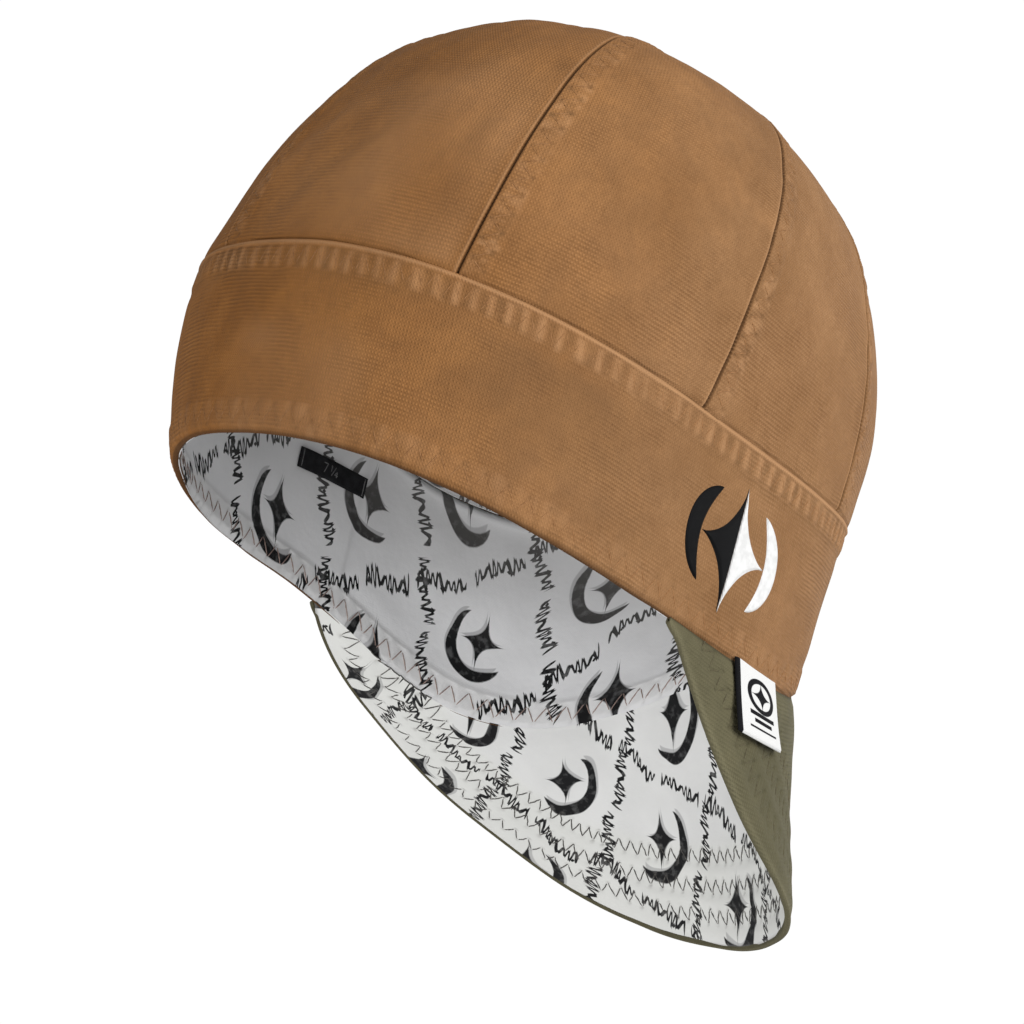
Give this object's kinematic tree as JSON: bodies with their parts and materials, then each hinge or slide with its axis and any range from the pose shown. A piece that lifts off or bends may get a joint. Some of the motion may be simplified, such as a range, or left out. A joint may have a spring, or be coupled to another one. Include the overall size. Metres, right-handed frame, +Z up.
{
  "type": "welding cap",
  "caption": "Soft fitted work cap held up as worn: gored duck crown, deep head band with white lining, and a drooping short bill lined in white.",
  "frame": {"origin": "middle of the rim's plane, where the head goes in", "axes": "+Z up through the crown, -Y toward the bill, +X the wearer's left"},
  "size_m": [0.1965, 0.2664, 0.2241],
  "materials": {
    "tan_duck": "matt, ribbed weave",
    "olive_duck": "matt, ribbed weave",
    "white_lining": "matt, smooth cotton",
    "black_woven": "woven label",
    "white_woven": "woven label"
  },
  "bodies": {
    "root": {"crown_gore_1": "tan_duck", "crown_gore_2": "tan_duck", "crown_gore_3": "tan_duck", "crown_gore_4": "tan_duck", "crown_gore_5": "tan_duck", "crown_gore_6": "tan_duck", "crown_gore_7": "tan_duck", "crown_gore_8": "tan_duck", "crown_lining": "white_lining", "band": "tan_duck", "band_lining": "white_lining", "bill_top": "olive_duck", "bill_underside": "white_lining", "size_label": "black_woven", "side_tag": "white_woven"}
  },
  "joints": []
}
